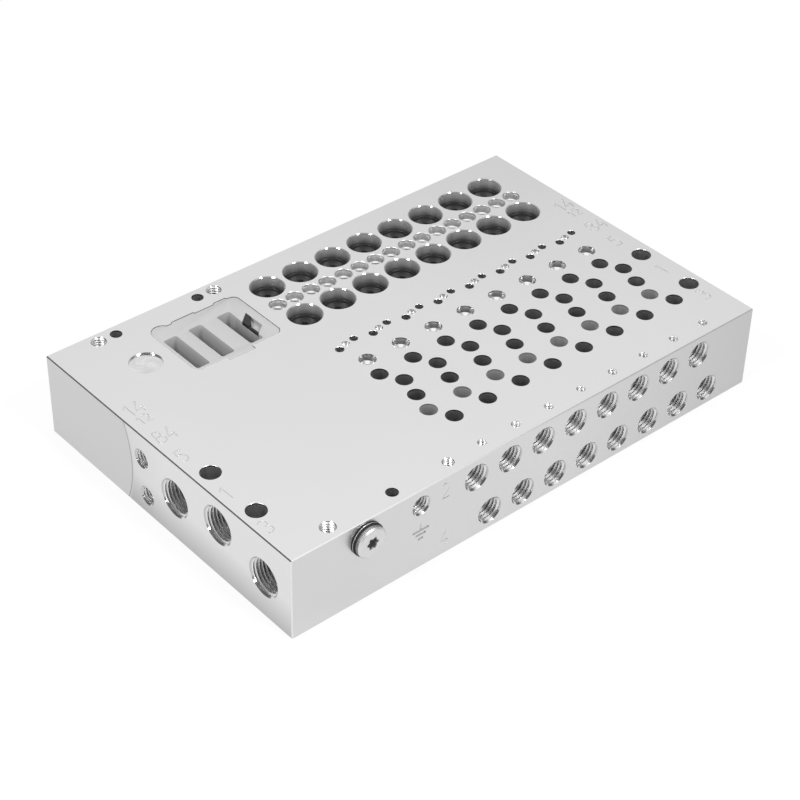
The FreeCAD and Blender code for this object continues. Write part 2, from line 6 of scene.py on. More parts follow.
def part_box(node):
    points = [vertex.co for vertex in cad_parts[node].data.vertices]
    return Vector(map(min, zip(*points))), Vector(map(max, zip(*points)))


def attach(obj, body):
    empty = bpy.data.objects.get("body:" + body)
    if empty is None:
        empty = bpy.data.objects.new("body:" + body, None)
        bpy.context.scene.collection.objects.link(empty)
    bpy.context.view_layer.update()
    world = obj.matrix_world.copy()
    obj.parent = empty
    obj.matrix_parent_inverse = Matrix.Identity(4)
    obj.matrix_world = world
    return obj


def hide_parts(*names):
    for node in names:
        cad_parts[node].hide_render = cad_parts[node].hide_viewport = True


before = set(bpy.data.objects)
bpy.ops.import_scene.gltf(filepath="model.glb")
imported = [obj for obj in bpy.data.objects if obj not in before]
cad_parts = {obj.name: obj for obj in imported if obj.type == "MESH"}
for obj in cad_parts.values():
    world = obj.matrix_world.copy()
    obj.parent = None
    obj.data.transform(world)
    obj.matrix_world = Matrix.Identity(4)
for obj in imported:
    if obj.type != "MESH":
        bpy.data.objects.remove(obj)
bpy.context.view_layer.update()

# Studio: a table in a dim room, with a white sweep behind it, a white card on the right and a
# bright ceiling. Two soft boxes beside the camera give every drilled rim its pair of glints, and
# a low strip light reaches into the port mouths.
CAMERA_PLACE = (-0.27255, -0.30643, 0.32119)
CAMERA_AIM = (0.00066, 0.00271, 0.0)
CAMERA_ROLL = 1.32
CAMERA_LENS = 93.87
CAMERA_SENSOR = 36
SWEEP_SIDE = (0.46, 0.54, 0.70)
CARD_SIDE = (0.40, -0.70, 0.59)
FLOOR_REACH = 6.0
FLOOR_PAPER = 0.88
FLOOR_GLOW = 0.86
# Each lamp: its azimuth and elevation in degrees, its width and height in metres, and its power.
LAMP_DISTANCE = 1.2
LAMPS = [
    ("box_left", -88, 47, (0.21, 0.34), 6.5),
    ("box_right", 8, 47, (0.21, 0.34), 6.5),
    ("strip_low", -62, 15, (0.34, 0.10), 1.6),
]


# A socket that takes part in plain sums.
class Value:
    def __init__(self, tree, socket):
        self.tree = tree
        self.socket = socket

    def sum(self, operation, left, right=0.0):
        maths = self.tree.nodes.new("ShaderNodeMath")
        maths.operation = operation
        for place, value in enumerate((left, right)):
            if isinstance(value, Value):
                self.tree.links.new(value.socket, maths.inputs[place])
            else:
                maths.inputs[place].default_value = value
        return Value(self.tree, maths.outputs[0])

    def __add__(self, other):
        return self.sum("ADD", self, other)

    def __radd__(self, other):
        return self.sum("ADD", other, self)

    def __sub__(self, other):
        return self.sum("SUBTRACT", self, other)

    def __rsub__(self, other):
        return self.sum("SUBTRACT", other, self)

    def __mul__(self, other):
        return self.sum("MULTIPLY", self, other)

    def __rmul__(self, other):
        return self.sum("MULTIPLY", other, self)

    def __truediv__(self, other):
        return self.sum("DIVIDE", self, other)

    def __rtruediv__(self, other):
        return self.sum("DIVIDE", other, self)

    def above(self, edge):
        return self.sum("GREATER_THAN", self, edge)

    def below(self, edge):
        return self.sum("LESS_THAN", self, edge)

    def least(self, other):
        return self.sum("MINIMUM", self, other)

    def most(self, other):
        return self.sum("MAXIMUM", self, other)

    def held(self):
        return self.least(1.0).most(0.0)

    def root(self):
        return self.sum("SQRT", self)

    def sine(self):
        return self.sum("SINE", self)

    def cosine(self):
        return self.sum("COSINE", self)

    def angle_over(self, across):
        return self.sum("ARCTAN2", self, across)


# A finish: one node tree, and node(), which adds a node, sets it and fills its sockets. ramp()
# and dot() call node() for a row of greys, and for how far an arrow points to one side.
class Finish:
    def __init__(self, owner):
        self.owner = owner
        owner.use_nodes = True
        self.tree = owner.node_tree
        self.tree.nodes.clear()

    def node(self, kind, settings=None, sockets=None, out=0):
        made = self.tree.nodes.new(kind)
        for name, setting in (settings or {}).items():
            if name == "stops":
                ramp = made.color_ramp
                while len(ramp.elements) < len(setting):
                    ramp.elements.new(0.5)
                for stop, (place, shade) in zip(ramp.elements, setting):
                    stop.position = place
                    stop.color = (shade, shade, shade, 1)
            else:
                setattr(made, name, setting)
        for name, value in (sockets or {}).items():
            if isinstance(value, Value):
                self.tree.links.new(value.socket, made.inputs[name])
            else:
                made.inputs[name].default_value = value
        if isinstance(out, tuple):
            return [Value(self.tree, made.outputs[name]) for name in out]
        return Value(self.tree, made.outputs[out]) if made.outputs else made

    def ramp(self, factor, stops):
        return self.node("ShaderNodeValToRGB", {"stops": stops}, {0: factor})

    def dot(self, arrow, side):
        return self.node("ShaderNodeVectorMath", {"operation": "DOT_PRODUCT"},
                         {0: arrow, 1: side}, out="Value")


def grey(level):
    return (level, level, level, 1)


bpy.context.scene.view_settings.view_transform = "Standard"

camera = bpy.data.objects.new("camera", bpy.data.cameras.new("camera"))
bpy.context.scene.collection.objects.link(camera)
camera.location = CAMERA_PLACE
camera.rotation_mode = "QUATERNION"
camera.rotation_quaternion = (Vector(CAMERA_AIM) - Vector(CAMERA_PLACE)).to_track_quat(
    "-Z", "Y") @ Quaternion((0, 0, 1), math.radians(CAMERA_ROLL))
camera.data.lens = CAMERA_LENS
camera.data.sensor_width = CAMERA_SENSOR
camera.data.clip_start = 0.01
camera.data.clip_end = 50
bpy.context.scene.camera = camera

world = bpy.data.worlds.new("studio_room")
bpy.context.scene.world = world
room = Finish(world)
facing = room.node("ShaderNodeTexCoord", out="Generated")
height = room.node("ShaderNodeSeparateXYZ", None, {0: facing}, out="Z")
walls = room.ramp(height * 0.5 + 0.5, [(0.45, 0.5), (0.6, 0.17), (0.965, 0.13), (0.98, 1.5)])
sweep = room.ramp(room.dot(facing, SWEEP_SIDE), [(0.45, 0.0), (0.78, 1.0)]) * (0.28 + height * 1.15)
card = room.ramp(room.dot(facing, CARD_SIDE),
                 [(0.90, 0.0), (0.93, 0.5), (0.975, 0.5), (0.992, 1.0)]) * 1.15
sky = room.node("ShaderNodeBackground", None,
                {"Color": walls.most(sweep).most(card), "Strength": 1.0})
room.node("ShaderNodeOutputWorld", None, {"Surface": sky})

bpy.ops.mesh.primitive_plane_add(size=FLOOR_REACH, location=(0, 0, 0))
floor = bpy.context.object
floor.name = "floor"
table = Finish(bpy.data.materials.new("table_top"))
to_camera, to_gloss, to_glass = table.node(
    "ShaderNodeLightPath", out=("Is Camera Ray", "Is Glossy Ray", "Is Transmission Ray"))
paper = table.node("ShaderNodeBsdfDiffuse", None, {"Color": grey(FLOOR_PAPER)})
white = table.node("ShaderNodeEmission", None, {"Color": grey(1.0), "Strength": 1.0})
both = table.node("ShaderNodeMixShader", None, {
    0: to_camera.most(to_gloss).most(to_glass) * FLOOR_GLOW, 1: paper, 2: white})
table.node("ShaderNodeOutputMaterial", None, {"Surface": both})
floor.data.materials.append(table.owner)

for name, azimuth, elevation, size, power in LAMPS:
    a, e = math.radians(azimuth), math.radians(elevation)
    towards = Vector((math.sin(a) * math.cos(e), -math.cos(a) * math.cos(e), math.sin(e)))
    lamp = bpy.data.objects.new(name, bpy.data.lights.new(name, "AREA"))
    bpy.context.scene.collection.objects.link(lamp)
    lamp.data.shape = "RECTANGLE"
    lamp.data.size, lamp.data.size_y = size
    lamp.data.energy = power
    lamp.location = towards * LAMP_DISTANCE
    lamp.rotation_mode = "QUATERNION"
    lamp.rotation_quaternion = (-towards).to_track_quat("-Z", "Y")

# Manifold block: a bar of aluminium, milled all round, drilled, threaded and engraved. The
# threads are cut into the drilled cores, and the port numbers are ball-milled into the faces.
# Places on the block are in mm from its lower left front corner.
MM = 0.001
BLOCK_LOW, BLOCK_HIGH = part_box("manifold_block")
RIGHT_SIDE = 146.0
DEPTH = 94.0
TOP = 23.0
STATION_COUNT = 8
STATIONS = [58.4 + 10.5 * count for count in range(STATION_COUNT)]
# The end ports and the pilot ports, as their places across and up on both end faces.
END_PORTS = [(42.7, 12.25), (26.35, 15.2), (9.85, 11.35)]
PILOT_PORTS = [(55.4, 15.85), (54.0, 5.6)]
# Each size of thread: its outer and core diameter, pitch, depth, and steps round.
PIPE_EIGHTH = (9.73, 8.56, 0.907, 8.9, 48)
METRIC_7 = (7.0, 5.98, 1.0, 6.4, 40)
METRIC_5 = (5.0, 4.18, 0.8, 6.9, 32)
METRIC_5_SHORT = (5.0, 4.18, 0.8, 5.9, 32)
METRIC_4 = (4.0, 3.28, 0.7, 7.9, 28)
METRIC_3 = (3.0, 2.48, 0.5, 5.9, 24)
METRIC_2_5 = (2.5, 2.03, 0.45, 5.9, 20)
# Each row of threads: its name, size, direction into the block, and places.
THREADS = [
    ("outlet_threads", METRIC_7, (0, 1, 0),
     [(x - 4.95, 0, 17.7) for x in STATIONS] + [(x - 0.2, 0, 5.3) for x in STATIONS]),
    ("left_port_threads", PIPE_EIGHTH, (1, 0, 0), [(0, y, z) for y, z in END_PORTS]),
    ("right_port_threads", PIPE_EIGHTH, (-1, 0, 0), [(RIGHT_SIDE, y, z) for y, z in END_PORTS]),
    ("left_pilot_threads", METRIC_5, (1, 0, 0), [(0, y, z) for y, z in PILOT_PORTS]),
    ("right_pilot_threads", METRIC_5, (-1, 0, 0), [(RIGHT_SIDE, y, z) for y, z in PILOT_PORTS]),
    ("earth_thread", METRIC_5_SHORT, (0, 1, 0), [(36.8, 0, 18.4)]),
    ("top_threads", METRIC_4, (0, 0, -1),
     [(13.0, 3.6, TOP), (12.9, 90.7, TOP), (47.2, 90.7, TOP)]),
    ("small_top_thread", METRIC_3, (0, 0, -1), [(47.7, 3.6, TOP)]),
    ("valve_screw_threads", METRIC_2_5, (0, 0, -1), [(x, 3.85, TOP) for x in STATIONS]),
]
# The wider threads are bright inside; the finer ones are dull and painted dark, as painted shade
# inside their narrow holes.
FINE_BELOW = 4.5
# In pitches: the rod starts this far outside, so that no crest lies where it is cut off, and it
# has spare turns, so that it reaches past both cuts.
THREAD_LEAD = 1.5137
SPARE_TURNS = 3
THREAD_OVERRUN = 0.2
# The round spot face: its middle, and the height of its floor.
DIAL_SPOT = (16.75, 76.65, 22.6)
(TOP_FACE, FRONT_FACE, END_FACE, EDGE, DRILLED, DRILL_POINT, THREADED, FINE_THREADED, ENGRAVED,
 SPOT_FACED) = range(10)
BLOCK_FINISHES = ("milled_top", "milled_front", "milled_end", "broken_edge", "drilled_bore",
                  "drill_point", "cut_thread", "fine_thread", "engraved_groove", "spot_face")
EDGE_REACH = 0.3
FLUSH = 0.01
BLIND_DEPTH = 1.5
# In metres: how near two points of a mesh lie when they are merged, and how near a point lies
# to the plane of a cut when it is taken to lie in it.
SAME_POINT = 1e-7
SAME_THREAD_POINT = 1e-6
SAME_PLANE = 1e-8
# In degrees: flatter edges than this look round.
SMOOTH_BELOW = 32


def on_block(x, y, z):
    return Vector((BLOCK_LOW.x + x * MM, BLOCK_LOW.y + y * MM, BLOCK_LOW.z + z * MM))


# Leaves only these pieces selected, with the last one active.
def pick(*pieces):
    bpy.ops.object.select_all(action="DESELECT")
    for piece in pieces:
        piece.select_set(True)
    bpy.context.view_layer.objects.active = pieces[-1]


# A copy of a CAD piece under its own name, with its loose triangles merged.
def cad_copy(node, name):
    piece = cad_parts[node].copy()
    piece.data = piece.data.copy()
    piece.name = name
    bpy.context.scene.collection.objects.link(piece)
    pick(piece)
    bpy.ops.object.mode_set(mode="EDIT")
    bpy.ops.mesh.select_all(action="SELECT")
    bpy.ops.mesh.remove_doubles(threshold=SAME_POINT)
    bpy.ops.object.mode_set(mode="OBJECT")
    bpy.ops.mesh.customdata_custom_splitnormals_clear()
    return piece


# A new piece as one point, in edit mode. The line of its section is then drawn on from there.
def first_point(name, place):
    bpy.ops.object.select_all(action="DESELECT")
    bpy.ops.mesh.primitive_plane_add(size=1)
    piece = bpy.context.object
    piece.name = name
    bpy.ops.object.mode_set(mode="EDIT")
    bpy.ops.mesh.select_all(action="SELECT")
    bpy.ops.mesh.merge(type="CENTER")
    bpy.ops.transform.translate(value=place)
    return piece


def draw_on(step):
    bpy.ops.mesh.extrude_vertices_move(TRANSFORM_OT_translate={"value": step})


# Turns all faces outwards and leaves edit mode.
def close_piece():
    bpy.ops.mesh.select_all(action="SELECT")
    bpy.ops.mesh.normals_make_consistent(inside=False)
    bpy.ops.object.mode_set(mode="OBJECT")


# The same piece again, with its own mesh, moved to its place.
def copy_at(piece, name, place):
    twin = piece.copy()
    twin.data = piece.data.copy()
    twin.name = name
    bpy.context.scene.collection.objects.link(twin)
    twin.data.transform(Matrix.Translation(place))
    return twin


# Adds a tool's body to a piece, or cuts it out of the piece, and takes the tool away.
def carve(piece, operation, tool):
    pick(piece)
    change = piece.modifiers.new("change", "BOOLEAN")
    change.operation = operation
    change.solver = "MANIFOLD"
    change.object = tool
    bpy.ops.object.modifier_apply(modifier="change")
    bpy.data.objects.remove(tool)


# Gives every face of a cutter the finish that it leaves in the block.
def leaves(cutter, finish):
    cutter.data.polygons.foreach_set("material_index", [finish] * len(cutter.data.polygons))


block = cad_copy("manifold_block", "machined_block")
block.data.materials.clear()
for name in BLOCK_FINISHES:
    block.data.materials.append(bpy.data.materials.new(name))
for face in block.data.polygons:
    middle = face.center
    left, front, under = (middle - BLOCK_LOW) / MM
    right, back, over = (BLOCK_HIGH - middle) / MM
    near = [gap for gap in (left, front, under, right, back, over) if gap < EDGE_REACH]
    if len(near) > 1:
        face.material_index = EDGE
    elif min(over, under) < FLUSH:
        face.material_index = TOP_FACE
    elif min(front, back) < FLUSH:
        face.material_index = FRONT_FACE
    elif min(left, right) < FLUSH:
        face.material_index = END_FACE
    elif abs(under - DIAL_SPOT[2]) < FLUSH:
        face.material_index = SPOT_FACED
    elif face.normal.z > 0.5 and over > BLIND_DEPTH:
        face.material_index = DRILL_POINT
    else:
        face.material_index = DRILLED


# A threaded rod: one zigzag flank line, screwed round by a turn per pitch, cut off square at
# both ends and laid along the hole.
def thread_cutter(name, size, direction):
    major, core, pitch, depth, steps = size
    rod = first_point(name, (core * MM / 2, 0, -THREAD_LEAD * pitch * MM))
    reach = (major - core) * MM / 2
    for turn in range(math.ceil(depth / pitch) + SPARE_TURNS):
        for across, up in ((reach, 0.4), (0, 0.1), (-reach, 0.4), (0, 0.1)):
            draw_on((across, 0, up * pitch * MM))
    bpy.ops.object.mode_set(mode="OBJECT")
    screw = rod.modifiers.new("thread", "SCREW")
    screw.axis = "Z"
    screw.angle = 2 * math.pi
    screw.screw_offset = pitch * MM
    screw.iterations = 1
    screw.steps = steps
    screw.render_steps = steps
    screw.use_merge_vertices = True
    bpy.ops.object.modifier_apply(modifier="thread")
    bpy.ops.object.mode_set(mode="EDIT")
    bpy.ops.mesh.select_all(action="SELECT")
    bpy.ops.mesh.remove_doubles(threshold=SAME_THREAD_POINT)
    for place, keep_above in ((-THREAD_OVERRUN * MM, True), (depth * MM, False)):
        bpy.ops.mesh.select_all(action="SELECT")
        bpy.ops.mesh.bisect(
            plane_co=(0, 0, place), plane_no=(0, 0, 1), use_fill=True,
            clear_inner=keep_above, clear_outer=not keep_above, threshold=SAME_PLANE)
    close_piece()
    rod.data.transform(Vector(direction).to_track_quat("Z", "Y").to_matrix().to_4x4())
    leaves(rod, THREADED if major > FINE_BELOW else FINE_THREADED)
    return rod


# Part of a round stroke, from one angle to another.
def arc(centre, radii, start, end, count=9):
    turns = [math.radians(start + (end - start) * step / (count - 1)) for step in range(count)]
    return [(centre[0] + radii[0] * math.cos(turn), centre[1] + radii[1] * math.sin(turn))
            for turn in turns]


# Each figure as the engraver's strokes in a cell 0.47 wide and 1 high: those of the first
# pass, and those of the second pass, which start or end on a stroke of the first. The earth
# symbol has a cell 1 wide, and the strokes of a closed figure run back to where they start.
CELL_WIDTH = 0.47
CLOSED_FIGURES = ("8",)
FIGURES = {
    "1": ([[(0.08, 0.72), (0.30, 1.0), (0.30, 0.0)]], []),
    "2": ([arc((0.235, 0.73), (0.215, 0.27), 165, -30) + [(0.05, 0.06)]],
          [[(0.02, 0.0), (0.47, 0.0)]]),
    "3": ([arc((0.22, 0.76), (0.21, 0.24), 150, -90)],
          [arc((0.22, 0.27), (0.25, 0.27), 90, -150)]),
    "4": ([[(0.35, 1.0), (0.0, 0.30), (0.47, 0.30)]], [[(0.36, 0.50), (0.36, 0.0)]]),
    "5": ([[(0.45, 1.0), (0.08, 1.0), (0.04, 0.55)]],
          [arc((0.21, 0.33), (0.25, 0.33), 135, -150)]),
    "8": ([arc((0.235, 0.76), (0.19, 0.24), 0, 330, 12)],
          [arc((0.235, 0.27), (0.235, 0.27), 0, 330, 12)]),
    "earth": ([[(0.5, 1.0), (0.5, 0.57)], [(0.18, 0.34), (0.82, 0.34)],
               [(0.34, 0.08), (0.66, 0.08)]],
              [[(0.0, 0.57), (1.0, 0.57)]]),
}
# Each mark: its figure, lower left corner, width of its cell, and height. Those on the top stand
# beside the ports of both ends.
END_MARKS = [
    ("1", 1.9, 61.7, 2.1, 4.5), ("4", 4.4, 61.7, 2.3, 4.5), ("1", 2.3, 57.9, 1.4, 3.0),
    ("2", 4.2, 57.9, 1.5, 3.0), ("8", 1.6, 49.4, 2.3, 4.5), ("4", 4.6, 49.4, 2.3, 4.5),
    ("5", 1.75, 40.9, 2.1, 4.3), ("1", 1.65, 24.3, 2.1, 4.6), ("3", 1.7, 9.9, 2.1, 4.4)]
RIGHT_MARKS = 138.0
TOP_MARKS = [(figure, left + side, low, width, tall) for side in (0, RIGHT_MARKS)
             for figure, left, low, width, tall in END_MARKS]
FRONT_MARKS = [("2", 43.0, 16.9, 2.1, 4.2), ("4", 43.0, 2.8, 2.1, 4.2),
               ("earth", 34.4, 8.35, 4.8, 4.95)]
STROKE_WIDTH = 0.40
EARTH_STROKE = 0.74
STROKE_LIFT = 0.02


# One engraver's stroke: a round bar along the path of the ball cutter.
def stroke_cutter(points, closed, width):
    line = bpy.data.curves.new("stroke", "CURVE")
    line.dimensions = "3D"
    path = line.splines.new("POLY")
    path.points.add(len(points) - 1)
    for point, place in zip(path.points, points):
        point.co = (*place, 1)
    path.use_cyclic_u = closed
    line.bevel_depth = width / 2 * MM
    line.bevel_resolution = 1
    line.use_fill_caps = True
    bar = bpy.data.objects.new("stroke", line)
    bpy.context.scene.collection.objects.link(bar)
    pick(bar)
    bpy.ops.object.convert(target="MESH")
    bpy.ops.object.mode_set(mode="EDIT")
    bpy.ops.mesh.select_all(action="SELECT")
    bpy.ops.mesh.remove_doubles(threshold=SAME_POINT)
    close_piece()
    leaves(bar, ENGRAVED)
    return bar


first_pass, second_pass = [], []
for name, size, direction, places in THREADS:
    rod = thread_cutter(name, size, direction)
    first_pass += [copy_at(rod, name, on_block(*place)) for place in places]
    bpy.data.objects.remove(rod)
for on_top, marks in ((True, TOP_MARKS), (False, FRONT_MARKS)):
    for figure, left, low, width, tall in marks:
        across_cell = width if figure == "earth" else width / CELL_WIDTH
        for cutters, strokes in zip((first_pass, second_pass), FIGURES[figure]):
            for stroke in strokes:
                flat = [(left + across * across_cell, low + up * tall) for across, up in stroke]
                points = [on_block(x, y, TOP + STROKE_LIFT) if on_top
                          else on_block(x, -STROKE_LIFT, y) for x, y in flat]
                cutters.append(stroke_cutter(
                    points, figure in CLOSED_FIGURES,
                    EARTH_STROKE if figure == "earth" else STROKE_WIDTH))

# The pips, the mounting holes and the outer pilot holes have a lightly broken rim: each as its
# middle and its radius.
PIPS = [(55.775 + 5.25 * count, 75.8, 2.25) for count in range(2 * STATION_COUNT)]
PILOT_HOLES = [(x + across, y, radius) for x in STATIONS
               for across, y, radius in ((-2.6, 51.75, 1.1), (2.85, 53.1, 1.025))]
MOUNTING_HOLES = [(x, y, 2.5) for x in (4.45, RIGHT_SIDE - 4.45) for y in (17.75, 34.4)]
RIM_CONE = 0.2
RIM_INSIDE = 0.03
for x, y, radius in PIPS + PILOT_HOLES + MOUNTING_HOLES:
    bpy.ops.mesh.primitive_cone_add(
        vertices=42, radius1=(radius - RIM_INSIDE) * MM,
        radius2=(radius - RIM_INSIDE + RIM_CONE) * MM, depth=RIM_CONE * MM, location=(0, 0, 0))
    cone = bpy.context.object
    cone.data.transform(Matrix.Translation(on_block(x, y, TOP)))
    leaves(cone, DRILLED)
    first_pass.append(cone)
# Each pip has a narrower hole in its floor, whose middle lies this deep below the top. The
# drill-point finish paints its walls dark, as painted shade.
PIP_DRILL_RADIUS = 1.8
PIP_DRILL_LENGTH = 2.0
PIP_DRILL_DEPTH = 3.3
for x, y, radius in PIPS:
    bpy.ops.mesh.primitive_cylinder_add(
        vertices=32, radius=PIP_DRILL_RADIUS * MM, depth=PIP_DRILL_LENGTH * MM)
    drill = bpy.context.object
    drill.data.transform(Matrix.Translation(on_block(x, y, TOP - PIP_DRILL_DEPTH)))
    leaves(drill, DRILL_POINT)
    first_pass.append(drill)

for cutters in (first_pass, second_pass):
    pick(*cutters[1:], cutters[0])
    bpy.ops.object.join()
    carve(block, "DIFFERENCE", bpy.context.object)
bpy.ops.object.shade_smooth_by_angle(angle=math.radians(SMOOTH_BELOW))
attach(block, "root")
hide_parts("manifold_block")


def object_place(finish):
    return finish.node("ShaderNodeTexCoord", out="Object")


def distance(finish, place, centre):
    return finish.node("ShaderNodeVectorMath", {"operation": "DISTANCE"},
                       {0: place, 1: centre}, out="Value")


def noise(finish, place, scale, detail, roughness=0.5):
    return finish.node("ShaderNodeTexNoise", None, {
        "Vector": place, "Scale": scale, "Detail": detail, "Roughness": roughness})


# A fine relief that follows a varying height, at most as deep as rise, in metres.
def bump(finish, height, strength, rise):
    return finish.node("ShaderNodeBump", None, {
        "Height": height, "Strength": strength, "Distance": rise})


def surface(finish, sockets):
    shader = finish.node("ShaderNodeBsdfPrincipled", None, sockets)
    finish.node("ShaderNodeOutputMaterial", None, {"Surface": shader})


# Where a spot lies on the part in mm, from the middle of the block's bottom face.
def axes_mm(finish):
    return [axis * 1000.0 for axis in finish.node(
        "ShaderNodeSeparateXYZ", None, {0: object_place(finish)}, out=("X", "Y", "Z"))]


MILLED_ROUGH = 0.36
MARKS_PER_METRE = 2600.0


# A milled face: fine cutter marks that swing round a middle, here in metres, and a slow, hardly
# visible change of tone over it.
def milled_face(finish, tone, swing):
    place = object_place(finish)
    clouds = noise(finish, place, 28.0, 3.0)
    marks = finish.node("ShaderNodeTexNoise", {"noise_dimensions": "1D"}, {
        "W": distance(finish, place, swing) * MARKS_PER_METRE, "Scale": 1.0, "Detail": 2.0})
    grain = noise(finish, place, 1900.0, 2.0)
    surface(finish, {
        "Base Color": tone * (0.975 + clouds * 0.04 + marks * 0.01), "Metallic": 1.0,
        "Roughness": MILLED_ROUGH + (clouds - 0.5) * 0.12 + (grain - 0.5) * 0.06,
        "Normal": bump(finish, marks * 0.6 + grain * 0.4, 0.10, 0.00003)})


# Painted shade makes the top a little darker to the back right, and the long sides to the right;
# the long sides are also painted darker than the top as a whole, as painted shade. Each fade
# starts at one place and takes a length, both in mm.
TOP_TONE = 0.738
TOP_SHADE_FADE = (15.0, 105.0)
TOP_SWING = (0.0, 0.42, 0.023)
SHADED_SIDE_TONE = 0.668
SIDE_SHADE_FADE = (5.0, 68.0)
SIDE_SWING = (0.0, -0.047, 0.60)
top_finish = Finish(block.data.materials[TOP_FACE])
x, y, z = axes_mm(top_finish)
painted_shade = ((x + y - TOP_SHADE_FADE[0]) / TOP_SHADE_FADE[1]).held()
milled_face(top_finish, TOP_TONE - painted_shade * 0.05, TOP_SWING)
front_finish = Finish(block.data.materials[FRONT_FACE])
x, y, z = axes_mm(front_finish)
painted_shade = ((x - SIDE_SHADE_FADE[0]) / SIDE_SHADE_FADE[1]).held()
milled_face(front_finish, SHADED_SIDE_TONE - painted_shade * 0.13, SIDE_SWING)

# The end faces keep the arc where the last cutter pass stopped: duller behind it and just before
# it, and bright towards the front. A strip along the lower edge is painted darker, as painted
# shade.
ARC_MIDDLE = (39.5, 11.5)
ARC_RADIUS = 27.0
FRESH_REACH = 14.0
STRIP_HEIGHT = 10.0
END_TONE = 0.60
end_finish = Finish(block.data.materials[END_FACE])
x, y, z = axes_mm(end_finish)
flat_place = end_finish.node("ShaderNodeCombineXYZ", None, {0: 0.0, 1: y, 2: z})
past_arc = distance(end_finish, flat_place, (0.0, *ARC_MIDDLE)) - ARC_RADIUS
before = past_arc.held()
fresh = (1.0 - past_arc / FRESH_REACH).held() * before
seam = (1.0 - past_arc.most(0.0 - past_arc) * 4.0).held()
strip = (1.0 - z / STRIP_HEIGHT).held() * before
milled_face(end_finish, END_TONE - fresh * 0.06 + before * 0.14 - strip * 0.26 - seam * 0.34,
            (BLOCK_LOW.x, ARC_MIDDLE[0] * MM, ARC_MIDDLE[1] * MM))


# How deep a spot on a drilled wall lies under the nearest face that it opens into, in mm.
def depth_mm(finish):
    x, y, z = axes_mm(finish)
    sides = (x + RIGHT_SIDE / 2).least(RIGHT_SIDE / 2 - x)
    ends = (y + DEPTH / 2).least(DEPTH / 2 - y)
    return sides.least(ends).least(TOP - z)


# A wall inside the block: smooth at its rim, and rougher the deeper it lies. Its tone is painted
# darker deeper in, as painted shade inside the hole; the stops of its tone are depths in cm.
def inner_wall(finish, stops, rough_rim, rough_deep, metallic=1.0, grain_scale=1300.0, relief=0.05):
    deep = depth_mm(finish)
    grain = noise(finish, object_place(finish), grain_scale, 2.0)
    inside = (deep * 5.0 - 1.2).held()
    surface(finish, {
        "Base Color": finish.ramp(deep / 10.0, stops) * (0.94 + grain * 0.12),
        "Metallic": metallic,
        "Roughness": rough_rim + (rough_deep - rough_rim) * inside + (grain - 0.5) * 0.04,
        "Normal": bump(finish, grain * inside, relief, 0.00005)})


# The fine turning marks of the sockets, of the pips and of the shallow row of valve holes
# scatter light. The holes left of the valves, and the mounting holes beside the row, don't.
VALVES_FROM = -20.0
SOCKETS_FROM = 14.0
MARKED_DEPTH = 3.2
SHALLOW_ROW = (-28.6, -24.1)
ROW_END = 62.0
SOCKET_SCATTER = 0.44
ROW_SCATTER = 0.242
drilled = Finish(block.data.materials[DRILLED])
x, y, z = axes_mm(drilled)
sockets = y.above(SOCKETS_FROM) * (1.0 - depth_mm(drilled) / MARKED_DEPTH).held()
shallow_row = y.above(SHALLOW_ROW[0]) * y.below(SHALLOW_ROW[1]) * x.below(ROW_END)
scatter = (sockets * SOCKET_SCATTER + shallow_row * ROW_SCATTER) * x.above(VALVES_FROM)
# The drilled bores are painted darker on their rim chamfers, as painted shade, and brighter just
# below them.
inner_wall(drilled, [(0.0, 0.50), (0.025, 0.50), (0.05, 0.80), (0.3, 0.66), (0.75, 0.52)],
           0.12, 0.38, metallic=1.0 - scatter)
inner_wall(Finish(block.data.materials[EDGE]), [(0.0, 0.76), (0.1, 0.76)], 0.13, 0.13)
# Drill points are bright at their outer lips and painted dark deeper than about 2.5 mm, as painted
# shade; the holes in the pips' floors lie there too.
inner_wall(Finish(block.data.materials[DRILL_POINT]),
           [(0.2, 0.64), (0.247, 0.60), (0.255, 0.10), (0.6, 0.07)], 0.14, 0.16)
inner_wall(Finish(block.data.materials[THREADED]),
           [(0.0, 0.62), (0.06, 0.36), (0.25, 0.23), (0.9, 0.14)], 0.14, 0.17,
           grain_scale=1700.0, relief=0.06)
inner_wall(Finish(block.data.materials[FINE_THREADED]),
           [(0.0, 0.18), (0.04, 0.12), (0.2, 0.08), (0.5, 0.05)], 0.52, 0.62, grain_scale=1700.0)

# The engraved grooves keep the grey smear of the small ball cutter, which skips here and there.
# Their tone is painted dark, as painted shade in the grooves; those on the front are deeper and
# painted darker still.
groove_finish = Finish(block.data.materials[ENGRAVED])
smear = noise(groove_finish, object_place(groove_finish), 1500.0, 2.0)
x, y, z = axes_mm(groove_finish)
on_front = y.below(1.0 - DEPTH / 2)
surface(groove_finish, {
    "Base Color": 0.03 + ((smear - 0.47) * 6.0).held() * (0.36 - on_front * 0.32),
    "Metallic": 1.0, "Roughness": 0.28 + smear * 0.15 + on_front * 0.3})

# The round spot face shows the turns of its cutter as a soft swirl.
spot_finish = Finish(block.data.materials[SPOT_FACED])
x, y, z = axes_mm(spot_finish)
out_x = x - (DIAL_SPOT[0] - RIGHT_SIDE / 2)
out_y = y - (DIAL_SPOT[1] - DEPTH / 2)
radius = (out_x * out_x + out_y * out_y).root()
twist = out_y.angle_over(out_x) + radius * 0.4
turns = spot_finish.node("ShaderNodeCombineXYZ", None, {
    0: twist.sine(), 1: twist.cosine(), 2: radius * 0.35})
swirl = noise(spot_finish, turns, 1.0, 2.0)
surface(spot_finish, {
    "Base Color": 0.57 + swirl * 0.3, "Metallic": 1.0, "Roughness": 0.20 + swirl * 0.1,
    "Normal": bump(spot_finish, swirl, 0.4, 0.0002)})

# Socket inserts: moulded black contact carriers pressed into the sixteen large bores. Each has
# a broken rim, a sunk ring and a collar round the contact hole; the front ones carry a spigot.
RING_SUNK = 0.35
